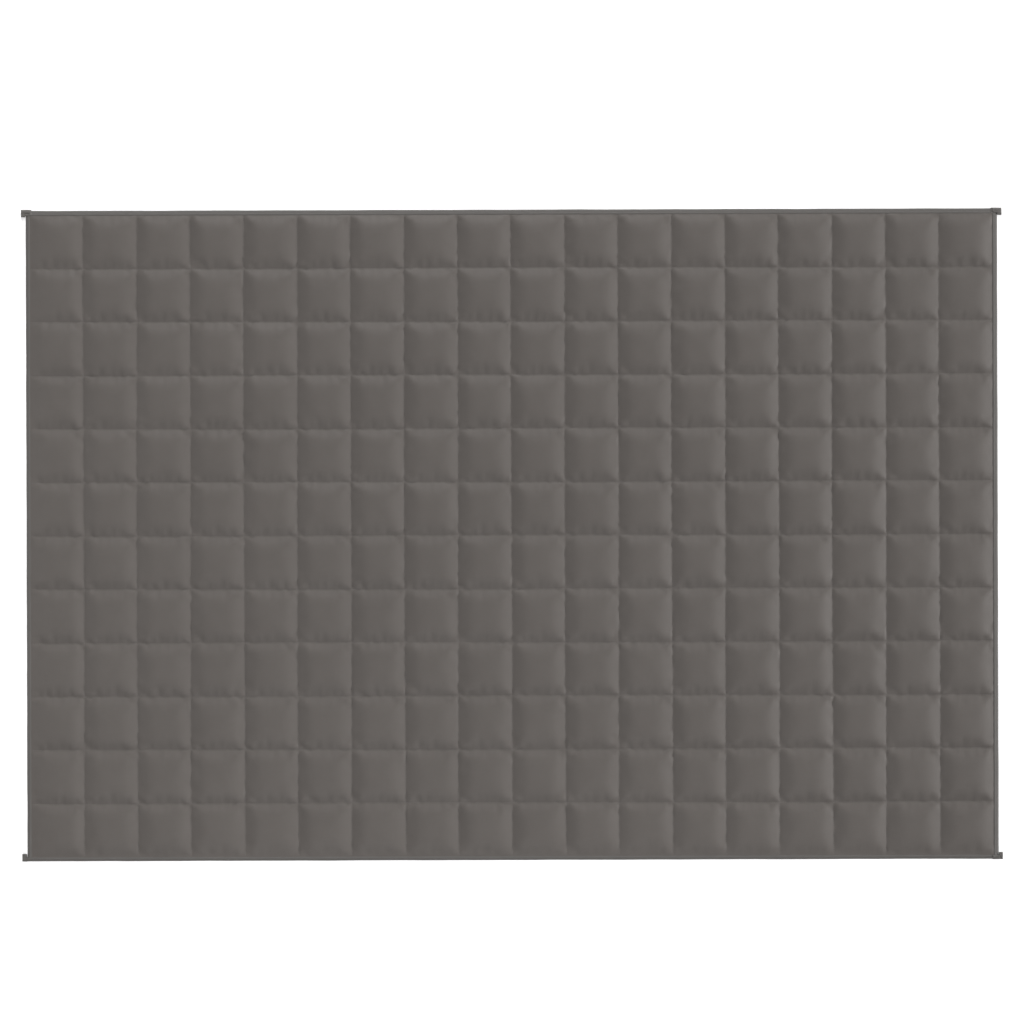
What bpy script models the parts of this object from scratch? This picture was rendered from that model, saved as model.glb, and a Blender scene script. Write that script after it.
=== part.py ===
"""A weighted blanket lying flat: one filled body quilted into square pockets, with its four edges bound.

The blanket is 18 pockets long (X) and 12 pockets wide (Y). Each pocket is a low pillow: it is crowned on
top, stands on a flat pad underneath, and is drawn in to a thin seam along its four sides. The body's raw
edge runs on past the outermost seams and sits in four folded strips of tape. The two strips along the
long edges run past the other two and end in a short, wider fold at each corner.

Units are metres, +Z is up, and the origin is the middle of the blanket where it rests on the surface.
"""

import math

import bmesh
import bpy
from mathutils import Matrix, Vector

MM = 0.001

# The quilting grid
POCKET = 100 * MM  # from seam to seam, both ways
COLUMNS = 18
ROWS = 12
SEAM_WANDER = 0.7 * MM  # how far a seam strays from its straight line
FILL_SPREAD = 0.05  # how unevenly the pockets are filled, as a share of the crown's height

# The body's heights above the surface
SEAM_BOTTOM = 1.5 * MM
SEAM_TOP = 3.5 * MM
EDGE_MARGIN = 7 * MM  # the raw edge past the outermost seams

# A pocket's rings, each inside the one before: its width, and how far it climbs
CROWN_RINGS = (
    {"width": 10 * MM, "rise": 4.1 * MM},
    {"width": 14 * MM, "rise": 3.6 * MM},
    {"width": 13 * MM, "rise": 1.4 * MM},
)
PAD_RING = {"width": 14 * MM, "rise": SEAM_BOTTOM}

# The binding: tape folded over the raw edge
BINDING_WIDTH = 8.5 * MM  # what shows of it, from the outermost seam outwards
BINDING_THICKNESS = 5 * MM
FOLD_RADIUS = 1.8 * MM
FOLD_SEGMENTS = 4
CORNER_REACH = 9 * MM  # how far the long strips run past the short ones
CORNER_WIDTH = 12.2 * MM  # across the wider fold at a corner
CORNER_OVERHANG = 1.2 * MM  # how far that fold stands out past its own strip
CORNER_LAP = 20 * MM  # the length of tape turned back over itself at each end
CORNER_THICKNESS = 6.2 * MM
STEP = 0.8 * MM  # how softly the tape steps from one thickness or width to the next
CLEARANCE = 0.3 * MM  # between pieces that touch
SLOT_BOTTOM = SEAM_BOTTOM - CLEARANCE
SLOT_TOP = SEAM_TOP + CLEARANCE

FIELD_LENGTH = COLUMNS * POCKET
FIELD_WIDTH = ROWS * POCKET

QUILT_CLOTH = {"color": (0.133, 0.122, 0.113), "roughness": 0.85}
BINDING_TAPE = {"color": (0.148, 0.144, 0.139), "roughness": 0.8}


def clear_scene():
    """Remove whatever the file opened with."""
    for found in list(bpy.data.objects):
        bpy.data.objects.remove(found, do_unlink=True)


def fabric(name, look):
    """A cloth material with the look's colour and roughness."""
    material = bpy.data.materials.new(name)
    material.use_nodes = True
    shader = material.node_tree.nodes["Principled BSDF"]
    shader.inputs["Base Color"].default_value = (*look["color"], 1.0)
    shader.inputs["Roughness"].default_value = look["roughness"]
    shader.inputs["Metallic"].default_value = 0.0
    return material


def add_object(name, mesh, material):
    """Link a finished mesh to the scene as a named piece."""
    piece = bpy.data.objects.new(name, mesh)
    mesh.materials.append(material)
    bpy.context.scene.collection.objects.link(piece)
    return piece


def wander(line, along):
    """How far seam number line strays sideways at the place along it, in a slow wave of its own."""
    return SEAM_WANDER * math.sin(2.4 * line + 5.0 * along)


def crossing(column, row):
    """Where two seams cross, with the blanket's middle at zero. The outermost seams are straight."""
    x = (column - COLUMNS / 2) * POCKET
    y = (row - ROWS / 2) * POCKET
    inner_column = 0 < column < COLUMNS
    inner_row = 0 < row < ROWS
    return (
        x + (wander(column, y) if inner_column else 0.0),
        y + (wander(row, x) if inner_row else 0.0),
    )


def fill_share(column, row):
    """How full a pocket is, round about 1. Neighbours differ, as loose filling settles unevenly."""
    return 1.0 + FILL_SPREAD * math.sin(1.7 * column + 2.9 * row) * math.cos(2.3 * column - 1.1 * row)


def seam_grid(bm, height):
    """One face for each pocket at the given height, in rows from the -Y edge, facing up."""
    points = [
        [bm.verts.new((*crossing(column, row), height)) for column in range(COLUMNS + 1)]
        for row in range(ROWS + 1)
    ]
    return [
        bm.faces.new(
            (
                points[row][column],
                points[row][column + 1],
                points[row + 1][column + 1],
                points[row + 1][column],
            )
        )
        for row in range(ROWS)
        for column in range(COLUMNS)
    ]


def outer_margin(bm):
    """Run the sheet on past its outermost seams, flat, by the width of the raw edge."""
    rim = [edge for edge in bm.edges if edge.is_boundary]
    made = bmesh.ops.extrude_edge_only(bm, edges=rim)["geom"]
    for vert in (item for item in made if isinstance(item, bmesh.types.BMVert)):
        for axis, half in ((0, FIELD_LENGTH / 2), (1, FIELD_WIDTH / 2)):
            if abs(vert.co[axis]) > half - CLEARANCE:
                vert.co[axis] += math.copysign(EDGE_MARGIN, vert.co[axis])
    square_corners(bm)


def square_corners(bm):
    """Move each corner of the margin out both ways, so that the outline is a rectangle."""
    half_length = FIELD_LENGTH / 2 + EDGE_MARGIN
    half_width = FIELD_WIDTH / 2 + EDGE_MARGIN
    for vert in bm.verts:
        out_x = abs(vert.co.x) > FIELD_LENGTH / 2 + CLEARANCE
        out_y = abs(vert.co.y) > FIELD_WIDTH / 2 + CLEARANCE
        if out_x and out_y:
            vert.co.x = math.copysign(half_length, vert.co.x)
            vert.co.y = math.copysign(half_width, vert.co.y)


def raise_pocket(bm, pocket, ring, share=1.0):
    """Inset one pocket by a ring, and move the face inside it outwards along its normal."""
    bmesh.ops.inset_individual(
        bm,
        faces=[pocket],
        thickness=ring["width"],
        depth=ring["rise"] * share,
        use_even_offset=True,
    )


def make_quilted_body(material):
    """The filled body: crowned pockets above, flat pads below, thin seams between, and a flat raw edge."""
    bm = bmesh.new()
    top = seam_grid(bm, SEAM_TOP)
    outer_margin(bm)
    for number, pocket in enumerate(top):
        row, column = divmod(number, COLUMNS)
        for ring in CROWN_RINGS:
            raise_pocket(bm, pocket, ring, fill_share(column, row))
    upper_rim = [edge for edge in bm.edges if edge.is_boundary]

    under = bmesh.new()
    pads = seam_grid(under, -SEAM_BOTTOM)
    outer_margin(under)
    for pad in pads:
        raise_pocket(under, pad, PAD_RING)
    under.transform(Matrix.Diagonal((1.0, 1.0, -1.0, 1.0)))
    bmesh.ops.reverse_faces(under, faces=under.faces)
    lower = bpy.data.meshes.new("underside")
    under.to_mesh(lower)
    under.free()

    known = set(upper_rim)
    bm.from_mesh(lower)
    bpy.data.meshes.remove(lower)
    lower_rim = [edge for edge in bm.edges if edge.is_boundary and edge not in known]
    bmesh.ops.bridge_loops(bm, edges=upper_rim + lower_rim)
    bmesh.ops.recalc_face_normals(bm, faces=bm.faces)

    mesh = bpy.data.meshes.new("quilted_body")
    bm.to_mesh(mesh)
    bm.free()
    return add_object("quilted_body", mesh, material)


def rounded_outline(section):
    """The strip's outline at one place along it: a rectangle with rounded corners, as (across, up) pairs."""
    radius = FOLD_RADIUS
    inner, outer = section["low"] + radius, section["high"] - radius
    bottom, top = section["bottom"] + radius, section["top"] - radius
    points = []
    for turn, (across, up) in enumerate(((outer, top), (inner, top), (inner, bottom), (outer, bottom))):
        for step in range(FOLD_SEGMENTS + 1):
            angle = (turn + step / FOLD_SEGMENTS) * math.pi / 2
            points.append((across + radius * math.cos(angle), up + radius * math.sin(angle)))
    return points


def lofted_strip(name, sections, axis):
    """A closed strip of tape through its sections, which lie one after another along the axis."""
    bm = bmesh.new()
    loops = []
    for section in sections:
        loop = []
        for across, up in rounded_outline(section):
            place = (section["at"], across, up) if axis == 0 else (across, section["at"], up)
            loop.append(bm.verts.new(place))
        loops.append(loop)
    for here, there in zip(loops, loops[1:]):
        for number in range(len(here)):
            after = (number + 1) % len(here)
            bm.faces.new((here[number], here[after], there[after], there[number]))
    bm.faces.new(loops[0])
    bm.faces.new(loops[-1])
    bmesh.ops.recalc_face_normals(bm, faces=bm.faces)
    mesh = bpy.data.meshes.new(name)
    bm.to_mesh(mesh)
    bm.free()
    return mesh


def cut_slot(strip, low, high):
    """Cut the slot that takes the body's raw edge, a box between two corners, out of a strip."""
    bm = bmesh.new()
    size = Vector(high) - Vector(low)
    middle = (Vector(high) + Vector(low)) / 2
    bmesh.ops.create_cube(bm, size=1.0, matrix=Matrix.Translation(middle) @ Matrix.Diagonal((*size, 1.0)))
    mesh = bpy.data.meshes.new(strip.name + "_slot")
    bm.to_mesh(mesh)
    bm.free()

    cutter = bpy.data.objects.new(mesh.name, mesh)
    cutter.hide_render = True
    cutter.display_type = "WIRE"
    bpy.context.scene.collection.objects.link(cutter)

    modifier = strip.modifiers.new("slot", "BOOLEAN")
    modifier.operation = "DIFFERENCE"
    modifier.solver = "EXACT"
    modifier.object = cutter


def ordered(side, near, far):
    """Two distances from the middle as a low and a high coordinate, on the given side (-1 or 1)."""
    return min(side * near, side * far), max(side * near, side * far)


def across_strip(side, seam, depth):
    """The slot's two coordinates across a strip that starts at the seam, open towards the seam."""
    return ordered(side, seam - CLEARANCE, seam + depth + CLEARANCE)


def make_short_binding(name, side, material):
    """A strip along a short edge (side is -1 for -X or 1 for +X), between the two long strips."""
    seam = FIELD_LENGTH / 2
    reach = FIELD_WIDTH / 2
    low, high = ordered(side, seam + CLEARANCE, seam + BINDING_WIDTH)
    ends = [
        {"at": at, "low": low, "high": high, "bottom": 0.0, "top": BINDING_THICKNESS}
        for at in (-reach, reach)
    ]
    strip = add_object(name, lofted_strip(name, ends, axis=1), material)

    slot_low, slot_high = across_strip(side, seam, EDGE_MARGIN)
    past_end = reach + EDGE_MARGIN
    cut_slot(strip, (slot_low, -past_end, SLOT_BOTTOM), (slot_high, past_end, SLOT_TOP))
    return strip


def corner_sections(side, seam):
    """The long strip's right-hand end: it thickens over its last part, widens past the side strip and ends."""
    near, far = seam + CLEARANCE, seam + BINDING_WIDTH
    plain = ordered(side, near, far)
    wide = ordered(side, far + CORNER_OVERHANG - CORNER_WIDTH, far + CORNER_OVERHANG)
    side_edge = FIELD_LENGTH / 2 + BINDING_WIDTH
    tip = side_edge + CORNER_REACH
    table = (
        {"at": tip - CORNER_LAP, "across": plain, "bottom": 0.0, "top": BINDING_THICKNESS},
        {"at": tip - CORNER_LAP + STEP, "across": plain, "bottom": 0.0, "top": CORNER_THICKNESS},
        {"at": side_edge + CLEARANCE, "across": plain, "bottom": 0.0, "top": CORNER_THICKNESS},
        {"at": side_edge + CLEARANCE + STEP, "across": wide, "bottom": 0.0, "top": CORNER_THICKNESS},
        {"at": tip - STEP, "across": wide, "bottom": 0.0, "top": CORNER_THICKNESS},
        {
            "at": tip,
            "across": (wide[0] + STEP, wide[1] - STEP),
            "bottom": STEP,
            "top": CORNER_THICKNESS - STEP,
        },
    )
    return [
        {"at": row["at"], "low": row["across"][0], "high": row["across"][1], "bottom": row["bottom"], "top": row["top"]}
        for row in table
    ]


def make_long_binding(name, side, material):
    """A strip along a long edge (side is -1 for -Y or 1 for +Y), with a wider fold at each corner."""
    seam = FIELD_WIDTH / 2
    right = corner_sections(side, seam)
    left = [{**section, "at": -section["at"]} for section in reversed(right)]
    strip = add_object(name, lofted_strip(name, left + right, axis=0), material)

    slot_low, slot_high = across_strip(side, seam, EDGE_MARGIN)
    raw_end = FIELD_LENGTH / 2 + EDGE_MARGIN + CLEARANCE
    cut_slot(strip, (-raw_end, slot_low, SLOT_BOTTOM), (raw_end, slot_high, SLOT_TOP))
    return strip


def main():
    clear_scene()
    cloth = fabric("quilt_cloth", QUILT_CLOTH)
    tape = fabric("binding_tape", BINDING_TAPE)
    make_quilted_body(cloth)
    make_short_binding("binding_left", -1, tape)
    make_short_binding("binding_right", 1, tape)
    make_long_binding("binding_head", 1, tape)
    make_long_binding("binding_foot", -1, tape)


main()
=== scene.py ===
import math

import bpy
import numpy as np
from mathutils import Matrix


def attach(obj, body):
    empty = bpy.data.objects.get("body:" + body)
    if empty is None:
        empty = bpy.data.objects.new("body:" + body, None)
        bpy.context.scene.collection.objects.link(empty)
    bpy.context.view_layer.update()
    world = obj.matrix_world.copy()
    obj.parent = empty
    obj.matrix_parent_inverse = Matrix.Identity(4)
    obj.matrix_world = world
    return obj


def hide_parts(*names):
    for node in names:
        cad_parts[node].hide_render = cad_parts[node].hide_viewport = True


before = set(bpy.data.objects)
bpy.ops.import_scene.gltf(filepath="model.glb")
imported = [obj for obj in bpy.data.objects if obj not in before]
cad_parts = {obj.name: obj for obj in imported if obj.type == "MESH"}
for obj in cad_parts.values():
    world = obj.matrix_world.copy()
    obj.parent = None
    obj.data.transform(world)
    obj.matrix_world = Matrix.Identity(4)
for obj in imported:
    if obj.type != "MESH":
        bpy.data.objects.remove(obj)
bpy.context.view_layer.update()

# everything is in metres, but where a note says mm; x runs along the blanket, y across it, z up
layout = {
    "pocket": 0.1,  # from seam to seam, both ways
    "columns": 18,
    "rows": 12,
    "topSeam": 0.0035,  # height of the seams on top
    "underSeam": 0.0015,  # and underneath
    "margin": 0.0054,  # raw edge past the outermost seams, hidden in the binding
    "seamWander": 0.0007,  # how far a seam strays from straight
    "wanderTurns": (2.4, 5.0),  # radians of that wave, from seam to seam and to the metre along one
}
halfLength = layout["columns"] * layout["pocket"] / 2
halfWidth = layout["rows"] * layout["pocket"] / 2
hair = 1e-5  # what lies nearer than this is at the same place


def deselectAll():
    bpy.ops.object.select_all(action="DESELECT")


def selectOnly(piece):
    deselectAll()
    piece.select_set(True)
    bpy.context.view_layer.objects.active = piece


# opens a piece for editing, with all of it selected or with nothing
def startEdit(piece, action):
    selectOnly(piece)
    bpy.ops.object.mode_set(mode="EDIT")
    bpy.ops.mesh.select_all(action=action)


def endEdit():
    bpy.ops.object.mode_set(mode="OBJECT")


def faceOutwards(piece):
    startEdit(piece, "SELECT")
    bpy.ops.mesh.normals_make_consistent(inside=False)
    endEdit()


def coordsOf(piece):
    coords = np.empty(len(piece.data.vertices) * 3)
    piece.data.vertices.foreach_get("co", coords)
    return coords.reshape(-1, 3)


def setCoords(piece, coords):
    piece.data.vertices.foreach_set("co", np.ascontiguousarray(coords).ravel())
    piece.data.update()


# a flat grid whose lines stand at the given places, not evenly
def addGrid(name, acrossLines, upLines, height):
    deselectAll()
    bpy.ops.mesh.primitive_grid_add(
        x_subdivisions=len(acrossLines) - 1,
        y_subdivisions=len(upLines) - 1,
        size=1.0,
    )
    piece = bpy.context.object
    piece.name = name
    piece.data.name = name
    x, y = np.meshgrid(acrossLines, upLines)
    setCoords(piece, np.stack([x.ravel(), y.ravel(), np.full(x.size, height)], axis=1))
    return piece


def smoothStep(value):
    value = np.clip(value, 0.0, 1.0)
    return value * value * (3.0 - 2.0 * value)


# sideways stray of a seam at a place along it; the outermost seams are straight
def seamStray(line, along, lastLine):
    toNext, toMetre = layout["wanderTurns"]
    stray = layout["seamWander"] * np.sin(toNext * line + toMetre * along)
    return np.where((line > 0) & (line < lastLine), stray, 0.0)


# moves points of the straight grid onto the straying seams
def followSeams(coords):
    pocket, columns, rows = layout["pocket"], layout["columns"], layout["rows"]
    acrossSteps = np.clip((coords[:, 0] + halfLength) / pocket, 0, columns)
    upSteps = np.clip((coords[:, 1] + halfWidth) / pocket, 0, rows)
    column, row = np.floor(acrossSteps), np.floor(upSteps)
    blendX, blendY = acrossSteps - column, upSteps - row
    strayX = (1 - blendX) * seamStray(column, coords[:, 1], columns)
    strayX += blendX * seamStray(column + 1, coords[:, 1], columns)
    strayY = (1 - blendY) * seamStray(row, coords[:, 0], rows)
    strayY += blendY * seamStray(row + 1, coords[:, 0], rows)
    moved = coords.copy()
    moved[:, 0] += strayX
    moved[:, 1] += strayY
    return moved


def setUp(node, inputs):
    for name, value in inputs.items():
        node.inputs[name].default_value = value


def join(tree, source, target):
    tree.links.new(source, target)


# one step of sums; each value is a number or another node's output
def calculate(tree, operation, *values):
    node = tree.nodes.new("ShaderNodeMath")
    node.operation = operation
    for socket, value in zip(node.inputs, values):
        if isinstance(value, (int, float)):
            socket.default_value = value
        else:
            join(tree, value, socket)
    return node.outputs[0]


# a wave that makes this many radians to each unit of the value
def waveOf(tree, value, turns):
    return calculate(tree, "SINE", calculate(tree, "MULTIPLY", value, turns))


# a node group whose inputs get their values in each material
def newGroup(name, inputs, outputs):
    group = bpy.data.node_groups.new(name, "ShaderNodeTree")
    for way, sockets in (("INPUT", inputs), ("OUTPUT", outputs)):
        for label, kind in sockets.items():
            group.interface.new_socket(name=label, in_out=way, socket_type="NodeSocket" + kind)
    return group, group.nodes.new("NodeGroupInput"), group.nodes.new("NodeGroupOutput")


def noiseAt(tree, place, scale, detail=2.0):
    noise = tree.nodes.new("ShaderNodeTexNoise")
    setUp(noise, {"Scale": scale, "Detail": detail, "Roughness": 0.5})
    join(tree, place, noise.inputs["Vector"])
    return noise.outputs["Fac"]


# all scales are counts to the metre
weaving = {
    "drift": (0.0016, 90.0),  # how far a thread strays, and the scale of that
    "roundness": 0.5,  # how much of its height a thread keeps where it dives under
    "shades": (1400.0, 60.0),  # scale of the thread's shades, across it and along it
}
ribbing = {
    "drift": (0.0012, 120.0),
    "notch": (0.3, 2.2),  # height of the notches across the ribs, and the radians of their wave to a rib
    "shades": 700.0,
}
dyeing = {
    "broad": (5.0, 0.6),  # scale and share of the wide clouds
    "near": (38.0, 0.4),  # and of the small ones
}


# plain weave: threads both ways, over and under by turns
def makeWeaveGroup():
    inputs = {"Place": "Vector", "Threads": "Float"}
    group, source, result = newGroup("plainWeave", inputs, {"Height": "Float", "Thread": "Float"})
    place = source.outputs["Place"]
    parts = group.nodes.new("ShaderNodeSeparateXYZ")
    join(group, place, parts.inputs[0])
    stray, driftScale = weaving["drift"]
    drift = noiseAt(group, place, driftScale)
    waves = []
    for axis, share in ((0, stray), (1, -stray)):
        shifted = calculate(group, "MULTIPLY_ADD", drift, share, parts.outputs[axis])
        counted = calculate(group, "MULTIPLY", shifted, source.outputs["Threads"])
        waves.append(waveOf(group, counted, math.pi))
    warp, weft = (calculate(group, "ABSOLUTE", wave) for wave in waves)
    over = calculate(group, "GREATER_THAN", calculate(group, "MULTIPLY", *waves), 0.0)
    kept = weaving["roundness"]
    warpUp = calculate(group, "MULTIPLY", warp, calculate(group, "MULTIPLY_ADD", weft, 1 - kept, kept))
    weftUp = calculate(group, "MULTIPLY", weft, calculate(group, "MULTIPLY_ADD", warp, 1 - kept, kept))
    lift = calculate(group, "MULTIPLY", over, calculate(group, "SUBTRACT", warpUp, weftUp))
    join(group, calculate(group, "ADD", weftUp, lift), result.inputs["Height"])

    # each thread is spun a little lighter or darker than the next
    across, along = weaving["shades"]
    shades = []
    for stretch in ((across, along, along), (along, across, along)):
        stretched = group.nodes.new("ShaderNodeVectorMath")
        stretched.operation = "MULTIPLY"
        stretched.inputs[1].default_value = stretch
        join(group, place, stretched.inputs[0])
        shades.append(noiseAt(group, stretched.outputs[0], 1.0))
    both = calculate(group, "ADD", *shades)
    join(group, calculate(group, "MULTIPLY", both, 0.5), result.inputs["Thread"])
    return group


# twill: ribs that run slantwise across the tape
def makeTwillGroup():
    inputs = {"Place": "Vector", "Ribs": "Float"}
    group, source, result = newGroup("tapeTwill", inputs, {"Height": "Float", "Thread": "Float"})
    place = source.outputs["Place"]
    parts = group.nodes.new("ShaderNodeSeparateXYZ")
    join(group, place, parts.inputs[0])
    x, y, z = parts.outputs
    stray, driftScale = ribbing["drift"]
    slant = calculate(group, "ADD", calculate(group, "ADD", x, y), z)
    slant = calculate(group, "MULTIPLY_ADD", noiseAt(group, place, driftScale), stray, slant)
    slant = calculate(group, "MULTIPLY", slant, source.outputs["Ribs"])
    rib = calculate(group, "ABSOLUTE", waveOf(group, slant, math.pi))
    notchHeight, notchTurns = ribbing["notch"]
    cross = calculate(group, "SUBTRACT", calculate(group, "SUBTRACT", x, y), z)
    cross = calculate(group, "MULTIPLY", cross, source.outputs["Ribs"])
    notch = calculate(group, "ABSOLUTE", waveOf(group, cross, notchTurns))
    join(group, calculate(group, "MULTIPLY_ADD", notch, notchHeight, rib), result.inputs["Height"])
    join(group, noiseAt(group, place, ribbing["shades"], 3.0), result.inputs["Thread"])
    return group


# dye that took a little unevenly, over a hand's width and over a few threads
def makeDyeGroup():
    inputs = {
        "Place": "Vector",
        "Dark": "Color",
        "Light": "Color",
        "Thread": "Float",
        "Threads share": "Float",
    }
    group, source, result = newGroup("unevenDye", inputs, {"Color": "Color", "Tone": "Float"})
    place = source.outputs["Place"]
    broadScale, broadShare = dyeing["broad"]
    nearScale, nearShare = dyeing["near"]
    broad = noiseAt(group, place, broadScale, 3.0)
    near = calculate(group, "MULTIPLY", noiseAt(group, place, nearScale, 3.0), nearShare)
    clouds = calculate(group, "MULTIPLY_ADD", broad, broadShare, near)
    apart = calculate(group, "SUBTRACT", source.outputs["Thread"], 0.5)
    tone = calculate(group, "MULTIPLY_ADD", apart, source.outputs["Threads share"], clouds)
    mix = group.nodes.new("ShaderNodeMix")
    mix.data_type = "RGBA"
    mix.clamp_factor = True
    join(group, tone, mix.inputs["Factor"])
    join(group, source.outputs["Dark"], mix.inputs[6])  # its two colours are 6 and 7, the mixed one is 2
    join(group, source.outputs["Light"], mix.inputs[7])
    join(group, mix.outputs[2], result.inputs["Color"])
    join(group, tone, result.inputs["Tone"])
    return group


clothLook = {
    "dark": (0.0835, 0.0737, 0.0673, 1),
    "light": (0.1064, 0.0942, 0.0862, 1),
    "threads": 2600.0,  # to the metre
    "threadsShare": 0.6,  # of the single threads in the tone
    "roughness": 0.64,
    "specular": 0.45,
    "sheen": 0.08,
    "depth": 0.00012,  # of the weave
    "bump": 0.35,
}
tapeLook = {
    "dark": (0.095, 0.0895, 0.0845, 1),
    "light": (0.119, 0.1125, 0.1065, 1),
    "ribs": 900.0,
    "threadsShare": 0.5,
    "roughness": 0.7,
    "specular": 0.35,
    "sheen": 0.1,
    "depth": 0.00018,
    "bump": 0.5,
}
threadLook = {
    "dark": (0.105, 0.097, 0.091, 1),
    "light": (0.142, 0.132, 0.124, 1),
    "plies": 1500.0,  # they show as slant ridges
    "threadsShare": 0.6,
    "roughness": 0.5,
    "specular": 0.45,
    "sheen": 0.05,
    "depth": 0.00008,
    "bump": 0.5,
}
finish = {
    "roughnessSpread": 0.12,  # the lightest dye is this much smoother than the darkest
    "sheenRoughness": 0.5,
}


def groupNode(tree, group, values, **links):
    node = tree.nodes.new("ShaderNodeGroup")
    node.node_tree = group
    setUp(node, values)
    for label, source in links.items():
        join(tree, source, node.inputs[label])
    return node


# dyed cloth, tape or thread; pattern is the group of its weave or ribs, count that group's own value
def makeMaterial(name, look, pattern, count):
    material = bpy.data.materials.new(name)
    material.use_nodes = True
    tree = material.node_tree
    shader = tree.nodes["Principled BSDF"]
    shine = {
        "Specular IOR Level": look["specular"],
        "Sheen Weight": look["sheen"],
        "Sheen Roughness": finish["sheenRoughness"],
    }
    setUp(shader, shine)
    place = tree.nodes.new("ShaderNodeTexCoord").outputs["Object"]
    woven = groupNode(tree, pattern, count, Place=place)

    values = {"Dark": look["dark"], "Light": look["light"], "Threads share": look["threadsShare"]}
    dye = groupNode(tree, dyeGroup, values, Place=place, Thread=woven.outputs["Thread"])
    join(tree, dye.outputs["Color"], shader.inputs["Base Color"])
    spread = finish["roughnessSpread"]
    roughest = look["roughness"] + spread / 2
    roughness = calculate(tree, "MULTIPLY_ADD", dye.outputs["Tone"], -spread, roughest)
    join(tree, roughness, shader.inputs["Roughness"])

    bump = tree.nodes.new("ShaderNodeBump")
    setUp(bump, {"Strength": look["bump"], "Distance": look["depth"]})
    join(tree, woven.outputs["Height"], bump.inputs["Height"])
    join(tree, bump.outputs["Normal"], shader.inputs["Normal"])
    return material


print("mixing the materials")
weaveGroup = makeWeaveGroup()
twillGroup = makeTwillGroup()
dyeGroup = makeDyeGroup()
cloth = makeMaterial("quiltCloth", clothLook, weaveGroup, {"Threads": clothLook["threads"]})
tape = makeMaterial("bindingTape", tapeLook, twillGroup, {"Ribs": tapeLook["ribs"]})
thread = makeMaterial("sewingThread", threadLook, twillGroup, {"Ribs": threadLook["plies"]})


def dress(piece, material):
    piece.data.materials.clear()
    piece.data.materials.append(material)
    selectOnly(piece)
    bpy.ops.object.shade_smooth()
    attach(piece, "root")


quilt = {
    "acrossFirst": 2.0,  # mm from a seam to the next grid line
    "acrossCells": 21,
    "upLines": (0, 2, 4.8, 8.6, 13.6, 20, 28, 38, 50),  # mm from a seam to the pocket's middle
    "underLines": (0, 5, 14, 30, 50),
    # extra cloth, as a share
    "baseSlack": 0.022,
    "slackSpread": 0.003,
    # gathered at a seam: on its pockets before it, after it, and how unlike the knots are
    "crossGather": (0.004, 0.03, 2.0),  # seams along the blanket
    "downGather": (0.008, 0.01, 2.5),  # seams across it
    "gatherKnots": 4,  # to a pocket
    "gatherSize": 0.8,
    "gatherReach": 0.022,
    "gatherAtCross": 0.35,  # share of the gathering where seams cross
    "cornerSlack": 0.03,
    "cornerReach": 0.025,
    # the simulation
    "jitter": 0.0003,  # the flat cloth starts a little uneven
    "pressure": 30.0,
    "bending": 9.0,
    "quality": 5,
    "frames": 20,
    "creases": 0.54,  # how much of what sets one pocket apart from the rest is kept
    # the filling
    "hipShare": 0.88,  # how far the stuffing fills the pocket out to its corners
    "hipRise": 0.00835,
    "hipAcross": (12, 43),  # mm from a seam: steep as far as the first, level from the second
    "hipUp": (9, 35),
    "hipSharp": 8,  # how sharply two shoulders meet
    "lean": 0.05,  # how far a pocket's filling may have slid
    "edgeLean": (-0.16, -0.08),  # and how far it lies from the left and the foot edge
    "lump": 0.00022,
    "lumpWaves": 4,
    "lumpTurns": (1.2, 2.6),  # to a pocket
    "fillSpread": 0.05,  # how much fuller a pocket is than another
    "fillTurns": ((1.7, 2.9), (2.3, -1.1)),
    "lastColumns": (16, 0.93),  # from this column on the pockets hold this share of the rest
    # the surface
    "edgePress": (0.85, 12.0),  # pockets start lower by this share at those edges, over this many mm
    "sink": 0.3,  # what would sink below a seam sinks by this share only
    "softCap": (0.00882, 0.3),  # and what would rise above this height by the second
    "padSoft": 0.0005,  # how softly the underside turns flat
    "padSink": 0.00002,
    "padOver": 0.0002,  # how far it may stand over the seams underneath
    "roughRise": 0.009,
    "roughPowers": (0.7, 0.6),
    "random": 11,
}


def pocketLines(fractions, count, half, margin):
    lines = [step * layout["pocket"] + at / 1000 - half for step in range(count) for at in fractions]
    lines.append(half)
    if margin:
        lines = [-half - margin] + lines + [half + margin]
    return np.array(lines)


def mirrorFractions(firstHalf):
    return list(firstHalf) + [100 - at for at in reversed(firstHalf[1:-1])]


def acrossFractions():
    first, cells = quilt["acrossFirst"], quilt["acrossCells"]
    step = (100 - 2 * first) / (cells - 2)
    return [0.0] + [first + step * number for number in range(cells - 1)]


def buildBody():
    columns, rows = layout["columns"], layout["rows"]
    margin = layout["margin"]
    topX = pocketLines(acrossFractions(), columns, halfLength, margin)
    topY = pocketLines(mirrorFractions(quilt["upLines"]), rows, halfWidth, margin)
    top = addGrid("quiltedBody", topX, topY, layout["topSeam"])

    # the rim goes down to the underside
    startEdit(top, "DESELECT")
    bpy.ops.mesh.select_non_manifold()
    bpy.ops.mesh.extrude_region_move(
        TRANSFORM_OT_translate={"value": (0, 0, layout["underSeam"] - layout["topSeam"])}
    )
    endEdit()

    underFractions = mirrorFractions(quilt["underLines"])
    underX = pocketLines(underFractions, columns, halfLength, 0)
    underY = pocketLines(underFractions, rows, halfWidth, 0)
    under = addGrid("underside", underX, underY, layout["underSeam"])

    # the two are made one mesh, and the ring between their rims is filled
    selectOnly(top)
    under.select_set(True)
    bpy.ops.object.join()
    startEdit(top, "DESELECT")
    bpy.ops.mesh.select_non_manifold()
    bpy.ops.mesh.fill(use_beauty=True)
    endEdit()
    faceOutwards(top)
    return top


def onTop(coords):
    return coords[:, 2] > layout["topSeam"] - hair


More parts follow.
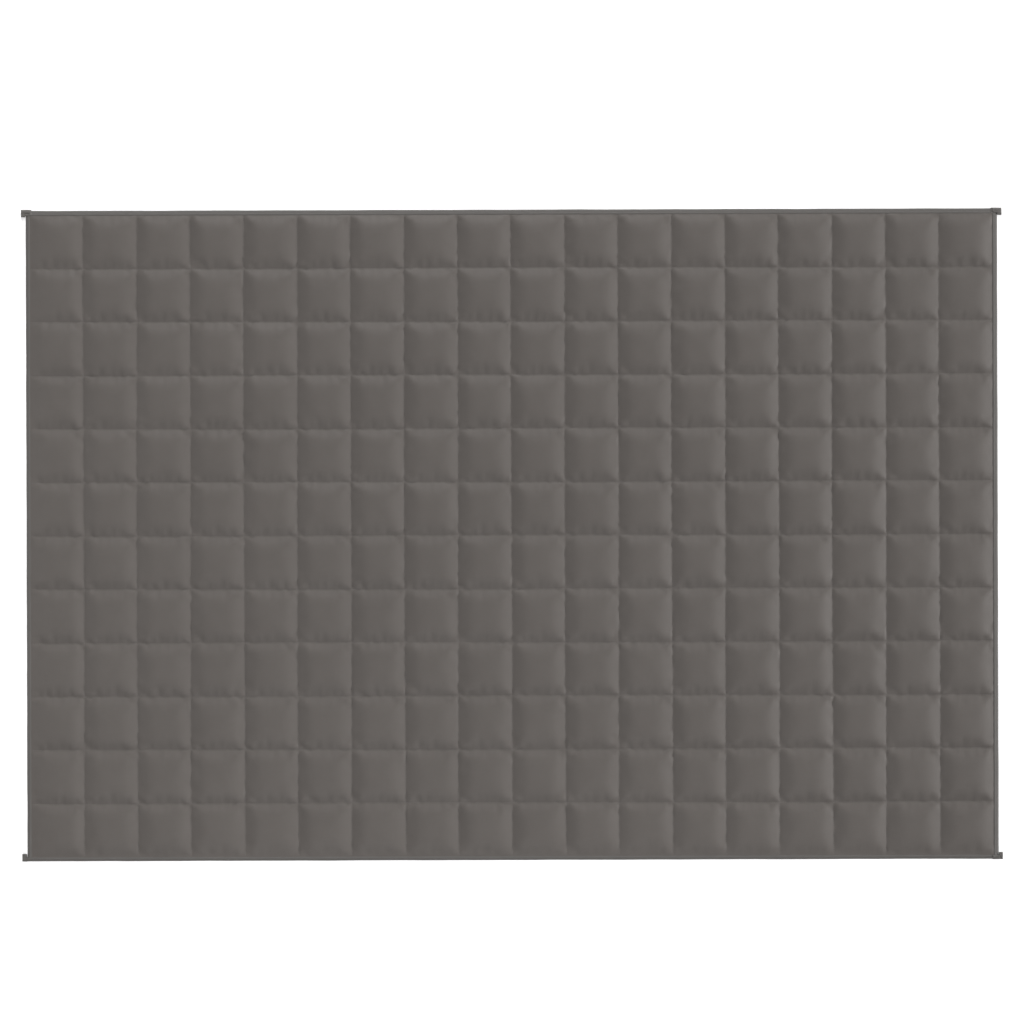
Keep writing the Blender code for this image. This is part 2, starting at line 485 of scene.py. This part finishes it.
# where each point lies in its pocket, and which points are sewn
def pocketPlaces(coords):
    pocket = layout["pocket"]
    acrossSteps = (coords[:, 0] + halfLength) / pocket
    upSteps = (coords[:, 1] + halfWidth) / pocket
    column = np.clip(np.floor(acrossSteps + hair), 0, layout["columns"] - 1)
    row = np.clip(np.floor(upSteps + hair), 0, layout["rows"] - 1)
    nearX = np.abs(acrossSteps - np.round(acrossSteps)) * pocket
    nearY = np.abs(upSteps - np.round(upSteps)) * pocket
    outside = (np.abs(coords[:, 0]) > halfLength + hair) | (np.abs(coords[:, 1]) > halfWidth + hair)
    return {
        "acrossSteps": acrossSteps,
        "upSteps": upSteps,
        "column": column.astype(int),
        "row": row.astype(int),
        "inX": acrossSteps - column,
        "inY": upSteps - row,
        "nearX": nearX,
        "nearY": nearY,
        "sewn": (nearX < hair) | (nearY < hair) | outside,
    }


# uneven gathering along the seams: random knots, read smoothly between them
def gatherAlong(steps, seam, side, knots):
    place = np.clip(steps * quilt["gatherKnots"], 0, knots.shape[2] - 2)
    knot = np.floor(place).astype(int)
    share = smoothStep(place - knot)
    return knots[seam, side, knot] * (1 - share) + knots[seam, side, knot + 1] * share


# gathering beside one family of seams; steps count from seam to seam, along runs with them
def gatherBeside(steps, along, near, alongIn, counts, gather, rng):
    seams, pockets = counts
    before, after, unlike = gather
    shape = (seams + 1, 2, pockets * quilt["gatherKnots"] + 2)
    knots = rng.uniform(0.0, 1.0, shape) ** unlike * (unlike + 1) * quilt["gatherSize"]
    seam = np.clip(np.round(steps), 0, seams).astype(int)
    side = (steps >= seam - hair).astype(int)
    amount = np.where(side, after, before) * gatherAlong(along, seam, side, knots)
    least = quilt["gatherAtCross"]
    window = np.sin(math.pi * np.clip(alongIn, 0, 1)) ** 0.6
    return amount * np.clip(1 - near / quilt["gatherReach"], 0, 1) * (least + (1 - least) * window)


def slackOf(places, isTop, rng):
    columns, rows = layout["columns"], layout["rows"]
    spread = rng.uniform(-1, 1, (rows, columns))
    slack = quilt["baseSlack"] + quilt["slackSpread"] * spread[places["row"], places["column"]]
    slack += gatherBeside(
        places["upSteps"], places["acrossSteps"], places["nearY"], places["inX"],
        (rows, columns), quilt["crossGather"], rng,
    )
    slack += gatherBeside(
        places["acrossSteps"], places["upSteps"], places["nearX"], places["inY"],
        (columns, rows), quilt["downGather"], rng,
    )
    fromCorner = np.hypot(places["nearX"], places["nearY"])
    slack += quilt["cornerSlack"] * np.clip(1 - fromCorner / quilt["cornerReach"], 0, 1)
    return np.where(isTop, slack, quilt["baseSlack"])


# air blown into the body, which is held at its seams, puffs the pockets and creases them
def inflate(body):
    rng = np.random.RandomState(quilt["random"])
    coords = coordsOf(body)
    isTop, places = onTop(coords), pocketPlaces(coords)
    slack = slackOf(places, isTop, rng)
    sewn = places["sewn"]
    coords[:, 2] += np.where(sewn | ~isTop, 0.0, rng.uniform(0, quilt["jitter"], len(coords)))
    setCoords(body, coords)

    seams = body.vertex_groups.new(name="seams")
    seams.add([int(index) for index in np.nonzero(sewn)[0]], 1.0, "REPLACE")
    least, most = float(slack.min()), float(slack.max())
    tightness = body.vertex_groups.new(name="tightness")
    for index, share in enumerate((most - slack) / (most - least)):
        tightness.add([index], float(share), "REPLACE")

    selectOnly(body)
    bpy.ops.object.modifier_add(type="CLOTH")
    modifier = body.modifiers[-1]
    settings = modifier.settings
    settings.vertex_group_mass = "seams"
    settings.vertex_group_shrink = "tightness"
    settings.shrink_min = -most
    settings.shrink_max = -least
    settings.quality = quilt["quality"]
    settings.bending_stiffness = quilt["bending"]
    settings.use_pressure = True
    settings.uniform_pressure_force = quilt["pressure"]
    settings.effector_weights.gravity = 0
    modifier.collision_settings.use_collision = False
    for number in range(1, quilt["frames"] + 1):
        bpy.context.scene.frame_set(number)
    bpy.ops.object.modifier_apply(modifier=modifier.name)
    bpy.context.scene.frame_set(1)
    body.vertex_groups.clear()


# height of a pocket's shoulder at a distance from its seam, as a share of its crown
def shoulder(distance, steepTo, levelFrom):
    rest = levelFrom - steepTo
    eased = np.clip((distance - steepTo) / rest, 0, 1)
    whole = steepTo + rest / 2
    return (np.clip(distance, 0, steepTo) + rest * (eased - eased**2 / 2)) / whole


# a stuffed pocket with square corners; its filling has slid a little and lies in soft lumps
def stuffedPocket(places, rng):
    columns, rows = layout["columns"], layout["rows"]
    column, row = places["column"], places["row"]
    lean = rng.uniform(-1, 1, (rows, columns, 2)) * quilt["lean"]
    lean[:, 0, 0] += quilt["edgeLean"][0]
    lean[0, :, 1] += quilt["edgeLean"][1]
    inX, inY = np.clip(places["inX"], 0, 1), np.clip(places["inY"], 0, 1)
    inX = inX + lean[row, column, 0] * np.sin(math.pi * inX) ** 2
    inY = inY + lean[row, column, 1] * np.sin(math.pi * inY) ** 2
    across = shoulder(100 * np.minimum(inX, 1 - inX), *quilt["hipAcross"])
    up = shoulder(100 * np.minimum(inY, 1 - inY), *quilt["hipUp"])
    across, up = np.maximum(across, 1e-4), np.maximum(up, 1e-4)  # nought has no negative power
    sharp = quilt["hipSharp"]
    hip = (across**-sharp + up**-sharp) ** (-1 / sharp) * 2 ** (1 / sharp)

    lumps = np.zeros_like(inX)
    waves = quilt["lumpWaves"]
    for number in range(waves):
        turns = rng.uniform(*quilt["lumpTurns"], (rows, columns, 2))
        turns = turns * rng.choice([-1, 1], (rows, columns, 2))
        start = rng.uniform(0, 2 * math.pi, (rows, columns))
        spot = turns[row, column, 0] * inX + turns[row, column, 1] * inY
        lumps += np.sin(2 * math.pi * spot + start[row, column]) / math.sqrt(waves)
    return hip * quilt["hipRise"] + lumps * quilt["lump"] * np.clip(hip, 0, 1) ** 0.7


# the mean of all pockets, point by point; a point's place in its pocket is its key
def meanPocket(rise, inX, inY):
    keys = np.round(inX * 1000) * 5000 + np.round(inY * 1000)
    number = np.unique(keys, return_inverse=True)[1]
    return (np.bincount(number, rise) / np.bincount(number))[number]


# how full each pocket is, round about 1
def fillShare(column, row):
    first, second = (turns[0] * column + turns[1] * row for turns in quilt["fillTurns"])
    share = 1.0 + quilt["fillSpread"] * np.sin(first) * np.cos(second)
    firstSlack, slackFill = quilt["lastColumns"]
    return share * np.where(column >= firstSlack, slackFill, 1.0)


# stuffs the puffed pockets, lays them flat underneath and moves them onto the straying seams
def settleBody(body, flat):
    rng = np.random.RandomState(quilt["random"] + 1)
    coords = coordsOf(body)
    isTop, places = onTop(flat), pocketPlaces(flat)
    topSeam, underSeam = layout["topSeam"], layout["underSeam"]

    puffed = np.where(isTop, coords[:, 2] - topSeam, 0.0)
    mean = np.zeros_like(puffed)
    mean[isTop] = meanPocket(puffed[isTop], places["inX"][isTop], places["inY"][isTop])
    share = quilt["hipShare"]
    rise = mean * (1 - share) + (puffed - mean) * quilt["creases"]
    rise += share * stuffedPocket(places, rng)
    rise *= fillShare(places["column"], places["row"])
    rise = np.where(places["sewn"], 0.0, rise)
    rise = np.where(rise < 0, rise * quilt["sink"], rise)
    press, reach = quilt["edgePress"]
    fromEdge = np.minimum(flat[:, 0] + halfLength, flat[:, 1] + halfWidth) * 1000
    rise *= 1 - press * np.exp(-np.maximum(fromEdge, 0) / reach)
    cap, keep = quilt["softCap"]
    rise = np.where(rise > cap, cap + (rise - cap) * keep, rise)

    fall = coords[:, 2]
    pad = 0.5 * (fall + np.sqrt(fall * fall + quilt["padSoft"] ** 2)) - quilt["padSink"]
    pad = np.where(places["sewn"], fall, np.minimum(pad, underSeam + quilt["padOver"]))
    coords[:, 2] = np.where(isTop, topSeam + rise, np.maximum(pad, 0.0))
    setCoords(body, followSeams(coords))


print("building the quilted body")
body = buildBody()
flatPoints = coordsOf(body)
inflate(body)
settleBody(body, flatPoints)
dress(body, cloth)
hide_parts("quilted_body")
crown = float(coordsOf(body)[:, 2].max()) * 1000
print("body", len(body.data.polygons), "faces, top at", round(crown, 2), "mm")


# all in mm
stitching = {
    "pitch": 4.1,  # from stitch to stitch
    "length": 3.4,
    "width": 0.72,
    "thickness": 0.66,
    "lift": 0.08,  # how far its middle lies above the seam's surface
    "dip": 0.32,  # how far its ends go down
    "stray": 0.08,
    "random": 4,
}


# one stitch, a small grain of thread that lies along x
def addStitch(name):
    deselectAll()
    bpy.ops.mesh.primitive_ico_sphere_add(subdivisions=1, radius=0.0005)  # 1 mm across
    stitch = bpy.context.object
    stitch.name = name
    startEdit(stitch, "SELECT")
    bpy.ops.transform.resize(value=(stitching["length"], stitching["width"], stitching["thickness"]))
    endEdit()
    coords = coordsOf(stitch)
    ends = (coords[:, 0] / (stitching["length"] / 2000)) ** 2
    coords[:, 2] -= ends * stitching["dip"] / 1000
    setCoords(stitch, coords)
    return stitch


def repeat(piece, count, step):
    selectOnly(piece)
    bpy.ops.object.modifier_add(type="ARRAY")
    array = piece.modifiers[-1]
    array.count = count
    array.use_relative_offset = False
    array.use_constant_offset = True
    array.constant_offset_displace = step
    bpy.ops.object.modifier_apply(modifier=array.name)


# rows of stitches over a length, the rows a pocket apart; alongY turns them to run up the blanket
def stitchRows(name, rowCount, length, alongY, rng):
    stitches = addStitch(name)
    perStitch = len(stitches.data.vertices)
    count = int(round(length * 1000 / stitching["pitch"])) - 1
    pitch = length / (count + 1)
    repeat(stitches, count, (pitch, 0, 0))
    repeat(stitches, rowCount, (0, layout["pocket"], 0))
    coords = coordsOf(stitches)
    coords[:, 0] += pitch - length / 2
    coords[:, 1] -= layout["pocket"] * (rowCount - 1) / 2
    stray = stitching["stray"] / 1000
    total = len(coords) // perStitch
    for axis in range(2):
        coords[:, axis] += np.repeat(rng.uniform(-stray, stray, total), perStitch)
    if alongY:
        coords = np.stack([-coords[:, 1], coords[:, 0], coords[:, 2]], axis=1)
    setCoords(stitches, coords)
    return stitches


# lays stitches on the seams, or under them where way is -1
def layStitches(stitches, height, way):
    coords = coordsOf(stitches)
    coords[:, 2] = height + way * coords[:, 2]
    setCoords(stitches, followSeams(coords))
    faceOutwards(stitches)
    dress(stitches, thread)


def sewQuilting():
    rng = np.random.RandomState(stitching["random"])
    lift = stitching["lift"] / 1000
    columns, rows = layout["columns"], layout["rows"]
    upper, lower = layout["topSeam"] + lift, layout["underSeam"] - lift
    for side, height, way in (("Top", upper, 1), ("Under", lower, -1)):
        cross = stitchRows("crossStitches" + side, rows - 1, 2 * halfLength, False, rng)
        layStitches(cross, height, way)
        down = stitchRows("downStitches" + side, columns - 1, 2 * halfWidth, True, rng)
        layStitches(down, height, way)


print("sewing the quilting")
sewQuilting()


# the tape that is folded over the four edges, in mm; a wave is its size and its lengths in metres
binding = {
    "rim": 0.1,  # from the outermost seam out to the tape's edge
    "folds": {"left": 7.9, "right": 9.2, "head": 9.3, "foot": 7.5},  # and out to its fold
    "heights": {"left": 4.1, "right": 4.45, "head": 4.45, "foot": 4.25},  # over the body's raw edge
    "foldHeight": 2.9,
    "layer": 1.1,  # thickness of the layer underneath
    "ridgeAt": 2.0,  # from the rim to where the tape lies highest
    "stitchAt": 3.9,
    "groove": 0.34,
    "fine": 0.7,  # from point to point across its upper layer
    "upper": 0.25,  # what shares more than this in the puckers is the upper layer
    "step": 2.5,  # from line to line along the tape
    "cornerStep": 0.6,  # and at its ends
    "cornerLead": 3.0,
    "leastStep": 0.25,
    "foldWave": (0.3, (0.31, 0.17, 0.093)),
    "rimWave": (0.25, (0.23, 0.06)),
    "pucker": (0.13, (0.0123, 0.0171, 0.029)),
    "puckerSwell": (0.4, (0.11, 0.31)),  # the puckers come and go
    "billow": (0.22, (0.37, 0.142)),
    "lapRamp": 1.6,  # over which the part that is turned back starts
    "wideRamp": 0.9,
    "creaseWidth": 1.05,
    "tipSteps": (1.0, 0.45, 0.12, 0),  # lines near the tip
    "tipRound": 2.4,  # over which the section closes towards the tip
    "tipHeight": 2.2,
    "tipClosed": 0.93,
    "pitch": 3.4,  # of its stitches
    "stitchFrom": 4.0,  # from the tape's end
    "stitchShare": 0.84,  # of the length of a quilting stitch
    "stitchLift": 0.03,
    "random": 23,
}
# the ends of the two long strips, in mm: tip from the middle, length of the wide part and of the part
# that is turned back, width, how far it stands out and up, and creases (from, to, depth), whose places
# are given as mm in from the tip and out from the seam
corners = {
    "headLeft": {
        "tip": 916.6, "wide": 8.2, "lap": 20.0, "width": 14.0, "overhang": 2.1, "rise": 1.0,
        "creases": [((1.6, 4.2), (15, 4.2), 2.2)],
    },
    "headRight": {
        "tip": 917.5, "wide": 8.0, "lap": 21.0, "width": 14.0, "overhang": 1.4, "rise": 1.3,
        "creases": [
            ((18.6, 9.5), (18.2, 4), 2.7), ((18.6, 2.4), (15.5, 0.8), 3.2),
            ((14, 0.6), (3, -0.6), 1.4), ((14.5, 4.6), (4, 4.0), 0.7),
        ],
    },
    "footLeft": {
        "tip": 917.5, "wide": 9.3, "lap": 9.9, "width": 14.2, "overhang": 0.5, "rise": 0.4,
        "creases": [((2.6, -2.8), (2.8, -3.6), 3.0)],
    },
    "footRight": {
        "tip": 916.8, "wide": 7.2, "lap": 20.0, "width": 13.6, "overhang": 1.1, "rise": 1.1,
        "creases": [
            ((19, 5.6), (4, 5.2), 2.2), ((15, 2.6), (4, 2.6), 0.8), ((2.2, -1.0), (2.4, -1.6), 2.4),
        ],
    },
}


# the tape's outline across its length: outwards from the seam, up, and its share in the puckers
def tapeOutline(fold, height):
    rim, layer = binding["rim"], binding["layer"]
    at, groove = binding["stitchAt"], binding["groove"]
    middle = binding["foldHeight"] / 2  # height of the fold's middle, and its radius
    bend = fold - middle
    inside = layout["topSeam"] * 1000 + 0.08  # just over the body's raw edge
    edge = height - 0.05 - inside
    ridge = rim + binding["ridgeAt"]
    slope = (height - 2 * middle) / (bend - ridge)
    outline = [
        (rim, inside + 0.1, 0.0),
        (rim + 0.1, inside + 0.4 * edge, 0.3),
        (rim + 0.8, inside + 0.67 * edge, 0.6),
        (ridge, inside + edge, 1.0),
        (at - 0.7, height - slope * (at - 0.7 - ridge), 1.0),
        (at, height - groove - slope * (at - ridge), 1.0),
        (at + 0.7, height + 0.05 - slope * (at + 0.7 - ridge), 1.0),
        (max(bend, at + 1.1), 2 * middle + 0.08, 0.6),
    ]
    for degrees in (58, 34, 12, -12, -34, -58):
        angle = math.radians(degrees)
        outline.append((bend + middle * math.cos(angle), middle + middle * math.sin(angle), 0.2))
    outline += [
        (bend, 0.0, 0.0),
        (at + 0.6, 0.0, 0.0),
        (at, groove * 0.8, 0.0),
        (at - 0.6, 0.0, 0.0),
        (rim + 0.5, 0.0, 0.0),
        (rim + 0.1, 0.2, 0.0),
        (rim, layer * 0.55, 0.0),
        (rim + 0.15, layer - 0.1, 0.0),
        (rim + 0.6, layer, 0.0),
        (fold - 2.6, layer, 0.0),
        (fold - 1.4, layer + 0.6, 0.0),
        (fold - 1.2, middle, 0.0),
        (fold - 1.4, inside - 0.6, 0.0),
        (fold - 2.0, inside, 0.0),
        (rim + 0.8, inside, 0.0),
        (rim, inside + 0.1, 0.0),
    ]

    # more points on the upper layer
    finer = [outline[0]]
    for start, stop in zip(outline, outline[1:]):
        isUpper = min(start[2], stop[2]) > binding["upper"]
        count = math.ceil(math.dist(start[:2], stop[:2]) / binding["fine"]) if isUpper else 1
        for number in range(1, count + 1):
            share = number / count
            finer.append(tuple(one + (two - one) * share for one, two in zip(start, stop)))
    return np.array(finer)


# one of the uneven waves along the tape, the sum of a few sines
def waveAlong(along, name, rng):
    size, lengths = binding[name]
    wave = np.zeros_like(along)
    for length in lengths:
        wave += np.sin(2 * math.pi * along / length + rng.uniform(0, 6.28)) * rng.uniform(0.6, 1.0)
    return size * wave / len(lengths)


# where the tape's cross sections stand, in mm along it; ends are its corner tables, if it has any
def tapeLines(ends):
    if not ends:
        half = halfWidth * 1000
        return np.linspace(-half, half, int(round(2 * half / binding["step"])) + 1)
    lines = []
    for side, end in zip((-1, 1), ends):
        tip, lapFrom, wideFrom = end["tip"], end["tip"] - end["lap"], end["tip"] - end["wide"]
        steps = [wideFrom, wideFrom + binding["wideRamp"]] + [tip - at for at in binding["tipSteps"]]
        fine = np.arange(lapFrom - binding["cornerLead"], tip, binding["cornerStep"])
        fine = [line for line in fine if min(abs(line - step) for step in steps) > binding["leastStep"]]
        lines += [side * line for line in (*fine, *steps)]
    inner = min(abs(line) for line in lines)
    count = int(round(2 * inner / binding["step"]))
    lines += list(np.linspace(-inner, inner, count + 1)[1:-1])
    return np.array(sorted(lines))


# how near each point comes to a straight crease, both in mm
def besideLine(x, y, start, stop):
    start, run = np.array(start), np.subtract(stop, start)
    share = np.clip(((x - start[0]) * run[0] + (y - start[1]) * run[1]) / (run @ run), 0, 1)
    return np.hypot(x - start[0] - share * run[0], y - start[1] - share * run[1])


# one end of a long strip: turned back over itself, wider past the side strip, creased and closed
def foldCorner(end, here, along, out, up, share, fold):
    rim = binding["rim"]
    fromTip = end["tip"] - np.abs(along)
    reach = np.clip((out - rim) / (fold - rim), 0, 1)
    lap = smoothStep((end["lap"] - fromTip) / binding["lapRamp"]) * here
    up = up + end["rise"] * lap * np.clip((share - 0.2) / 0.5, 0, 1)  # the layers underneath stay
    out = out + end["overhang"] * lap * reach
    fold = fold + end["overhang"]
    wide = smoothStep((end["wide"] - fromTip) / binding["wideRamp"]) * here
    widen = end["width"] / (fold - rim)
    out = np.where(here, fold - (fold - out) * (1 + (widen - 1) * wide), out)
    for start, stop, depth in end["creases"]:
        beside = besideLine(fromTip, out, start, stop)
        dent = depth * np.exp(-((beside / binding["creaseWidth"]) ** 2))
        up = up - dent * (share > binding["upper"]) * here
    closing = 1 - np.sqrt(1 - np.clip(1 - fromTip / binding["tipRound"], 0, 1) ** 2)
    up = up + (binding["tipHeight"] - up) * binding["tipClosed"] * closing * here
    return out, up


# side is (x, y): the way out from the blanket's middle across the tape
def makeBinding(edge, side, rng):
    fold = binding["folds"][edge]
    ends = [corners[edge + end] for end in ("Left", "Right")] if side[1] else []
    outline = tapeOutline(fold, binding["heights"][edge])
    lines = tapeLines(ends)
    piece = addGrid(edge + "Binding", np.arange(len(outline)) * 0.001, lines, 0.0)
    out, up, share = (np.tile(outline[:, part], (len(lines), 1)) for part in range(3))
    reach = np.clip((out - binding["rim"]) / (fold - binding["rim"]), 0, 1)

    # the tape wavers, puckers at its stitches, and its fold is fuller here and there
    metres = lines[:, None] / 1000
    out += waveAlong(metres, "foldWave", rng) * reach
    out += waveAlong(metres, "rimWave", rng) * (1 - reach) * (share > 0)
    pucker = waveAlong(metres, "pucker", rng)
    up += pucker * (0.6 + waveAlong(metres, "puckerSwell", rng)) * share
    up += waveAlong(metres, "billow", rng) * share

    along = lines[:, None] + np.zeros_like(out)
    for sign, end in zip((-1, 1), ends):
        here = np.sign(along) == sign
        out, up = foldCorner(end, here, along, out, up, share, fold)
    up = np.maximum(up, 0.0)

    across = out + (halfWidth if side[1] else halfLength) * 1000
    if side[0]:
        coords = np.stack([side[0] * across, along, up], axis=2)
    else:
        coords = np.stack([along, side[1] * across, up], axis=2)
    setCoords(piece, coords.reshape(-1, 3) / 1000)

    # the outline's two ends are merged, and the strip's two ends are closed
    startEdit(piece, "SELECT")
    bpy.ops.mesh.remove_doubles(threshold=0.000001)
    bpy.ops.mesh.select_all(action="DESELECT")
    bpy.ops.mesh.select_non_manifold()
    bpy.ops.mesh.edge_face_add()
    endEdit()
    faceOutwards(piece)
    dress(piece, tape)
    bpy.ops.object.shade_smooth_by_angle(angle=math.radians(60))
    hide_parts("binding_" + edge)

    # the two grooves that the stitches lie in
    inGroove = np.abs(outline[:, 0] - binding["stitchAt"]) < 0.001
    upper = int(np.argmax(inGroove & (outline[:, 1] > 2)))
    lower = int(np.argmax(inGroove & (outline[:, 1] < 2)))
    return [(along[:, at], across[:, at], up[:, at]) for at in (upper, lower)]


# one row of stitches on the tape and one under it
def sewTape(edge, side, grooves, rng):
    stitches = addStitch(edge + "Stitches")
    perStitch = len(stitches.data.vertices)
    margin, pitch = binding["stitchFrom"], binding["pitch"]
    start, stop = grooves[0][0][0] + margin, grooves[0][0][-1] - margin
    count = int((stop - start) / pitch)
    repeat(stitches, count, (pitch / 1000, 0, 0))
    repeat(stitches, 2, (0, 1.0, 0))  # the row underneath is made a metre aside and brought back
    coords = coordsOf(stitches) * 1000
    half = len(coords) // 2
    coords[half:, 1] -= 1000
    shorter = binding["stitchShare"]
    number = np.repeat(np.tile(np.arange(count), 2), perStitch)
    coords[:, 0] = coords[:, 0] * shorter + number * pitch * (1 - shorter) + start
    stray = stitching["stray"]
    coords[:, 1] += np.repeat(rng.uniform(-stray, stray, 2 * count), perStitch)
    laid = np.empty_like(coords)
    for part, (along, across, up), way in zip((slice(0, half), slice(half, None)), grooves, (1, -1)):
        spot = coords[part]
        laid[part, 0] = spot[:, 0]
        laid[part, 1] = np.interp(spot[:, 0], along, across) + spot[:, 1]
        laid[part, 2] = np.interp(spot[:, 0], along, up) + way * (spot[:, 2] + binding["stitchLift"])
    laid[:, 2] = np.maximum(laid[:, 2], 0.0)
    if side[0]:
        laid = laid[:, [1, 0, 2]] * (side[0], 1, 1)
    else:
        laid = laid * (1, side[1], 1)
    setCoords(stitches, laid / 1000)
    faceOutwards(stitches)
    dress(stitches, thread)


def sewBinding():
    rng = np.random.RandomState(binding["random"])
    for edge, side in (("left", (-1, 0)), ("right", (1, 0)), ("head", (0, 1)), ("foot", (0, -1))):
        grooves = makeBinding(edge, side, rng)
        sewTape(edge, side, grooves, rng)


print("folding the binding")
sewBinding()


floorPlan = {"size": 7.0, "drop": 0.0004, "color": (0.95, 0.95, 0.95), "glow": 0.3}


def addFloor():
    deselectAll()
    bpy.ops.mesh.primitive_plane_add(size=floorPlan["size"])
    floor = bpy.context.object
    floor.name = "floor"
    coords = coordsOf(floor)
    coords[:, 2] = -floorPlan["drop"]
    setCoords(floor, coords)
    paint = bpy.data.materials.new("paleFloor")
    paint.use_nodes = True
    shader = paint.node_tree.nodes["Principled BSDF"]
    setUp(shader, {"Base Color": (*floorPlan["color"], 1), "Roughness": 1.0, "Specular IOR Level": 0.0})
    setUp(shader, {"Emission Color": (1, 1, 1, 1), "Emission Strength": floorPlan["glow"]})
    floor.data.materials.append(paint)


# soft boxes stand around the blanket, the strongest to the right and above it in the picture
studio = {
    "ambient": 0.12,
    "size": 1.3,
    "boxes": {  # watts and place; each looks at the blanket's middle
        "right": (520.0, (7.0, 0.0, 2.55)),
        "headFar": (131.0, (0.0, 6.0, 2.18)),
        "headNear": (50.0, (-0.52, 2.95, 2.02)),
        "foot": (33.5, (-0.35, -1.97, 2.07)),
        "left": (14.3, (-2.3, 0.0, 0.93)),
    },
}


def addSoftBox(name, power, place):
    deselectAll()
    bpy.ops.object.light_add(type="AREA", location=place)
    light = bpy.context.object
    light.name = name
    light.data.energy = power
    light.data.size = studio["size"]
    light.rotation_euler = light.location.to_track_quat("Z", "Y").to_euler()


def lightStudio():
    world = bpy.data.worlds.new("studio")
    bpy.context.scene.world = world
    world.use_nodes = True
    setUp(world.node_tree.nodes["Background"], {"Color": (1, 1, 1, 1), "Strength": studio["ambient"]})
    for name, (power, place) in studio["boxes"].items():
        addSoftBox(name, power, place)
    bpy.context.scene.view_settings.view_transform = "Standard"


view = {
    "lens": 85.0,  # mm, as is the sensor
    "sensor": 36.0,
    "distance": 4.5215,  # from the seams' height
    "reach": 50.0,
    "lookAt": (0.0004, 0.0436),
    "turn": -0.0029,
}


def addCamera():
    deselectAll()
    bpy.ops.object.camera_add(
        location=(*view["lookAt"], view["distance"] + layout["topSeam"]),
        rotation=(0, 0, view["turn"]),
    )
    camera = bpy.context.object
    camera.name = "overhead"
    camera.data.lens = view["lens"]
    camera.data.sensor_width = view["sensor"]
    camera.data.clip_end = view["reach"]
    bpy.context.scene.camera = camera


print("lighting the studio")
addFloor()
lightStudio()
addCamera()
